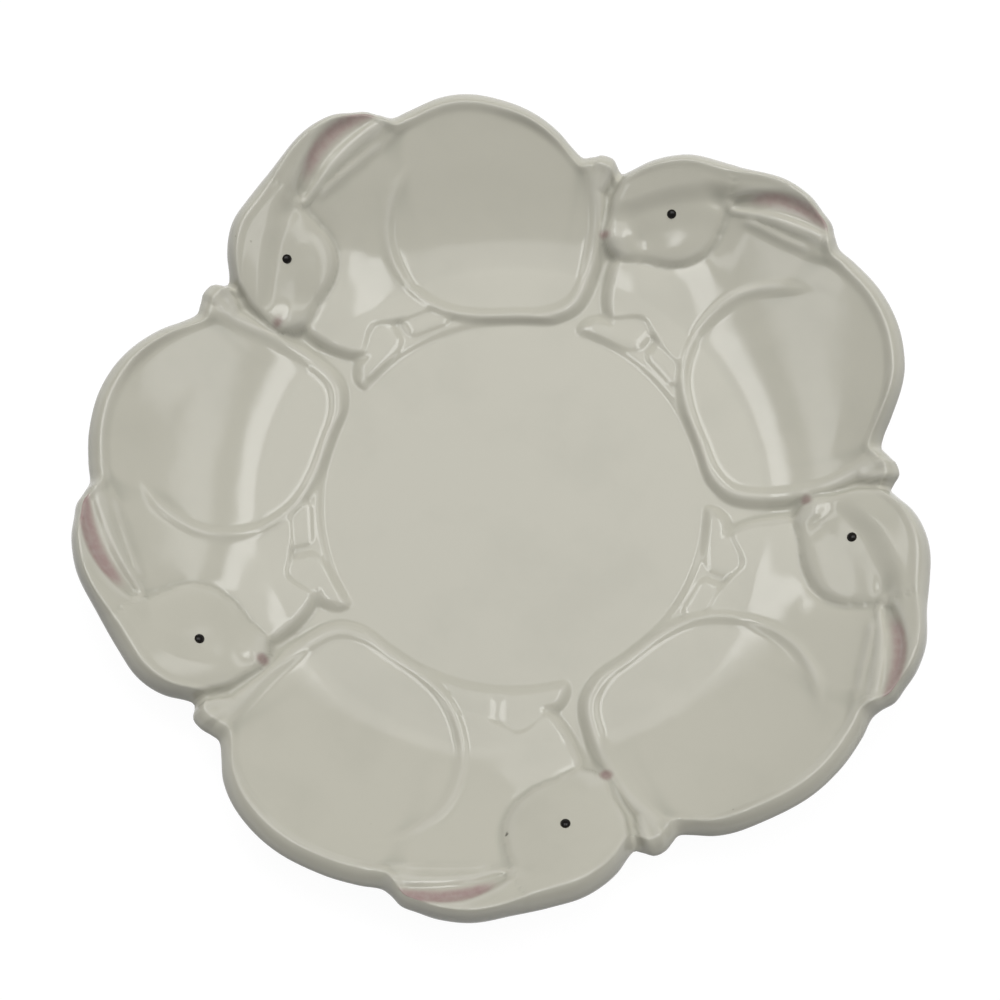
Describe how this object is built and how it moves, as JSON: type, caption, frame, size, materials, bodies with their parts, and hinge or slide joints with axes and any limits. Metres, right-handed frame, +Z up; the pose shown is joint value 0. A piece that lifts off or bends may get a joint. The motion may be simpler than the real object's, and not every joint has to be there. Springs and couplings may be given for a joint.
{
  "type": "serving plate",
  "caption": "Round glazed ceramic serving plate: a flat centre on a foot ring, edged by crouching rabbits in low relief, each haunch hollowed into a small dish.",
  "frame": {"origin": "on the surface that the plate stands on, under the middle of its uneven outline, 3 mm from the axis of the foot ring", "axes": "+Z up out of the plate; +X and +Y lie in the plane of the table, with the first rabbit's eye 172 degrees anticlockwise from +X"},
  "size_m": [0.2764, 0.2832, 0.033],
  "materials": {
    "glaze": "glossy warm ivory glaze, clear and thick, rounded over every edge",
    "biscuit": "bare fired clay, matt, wiped free of glaze to stand in the kiln",
    "black_enamel": "glossy black brush dot with a pale glint",
    "pink_enamel": "thin dusty pink wash under clear gloss"
  },
  "bodies": {
    "root": {"centre_floor": "glaze", "foot_ring": "biscuit", "rabbit_1": "glaze", "rabbit_1_ear_lining": "pink_enamel", "rabbit_1_eye": "black_enamel", "rabbit_1_nose": "pink_enamel", "rabbit_2": "glaze", "rabbit_2_ear_lining": "pink_enamel", "rabbit_2_eye": "black_enamel", "rabbit_2_nose": "pink_enamel", "rabbit_3": "glaze", "rabbit_3_ear_lining": "pink_enamel", "rabbit_3_eye": "black_enamel", "rabbit_3_nose": "pink_enamel", "rabbit_4": "glaze", "rabbit_4_ear_lining": "pink_enamel", "rabbit_4_eye": "black_enamel", "rabbit_4_nose": "pink_enamel", "rabbit_5": "glaze", "rabbit_5_ear_lining": "pink_enamel", "rabbit_5_eye": "black_enamel", "rabbit_5_nose": "pink_enamel"}
  },
  "joints": []
}
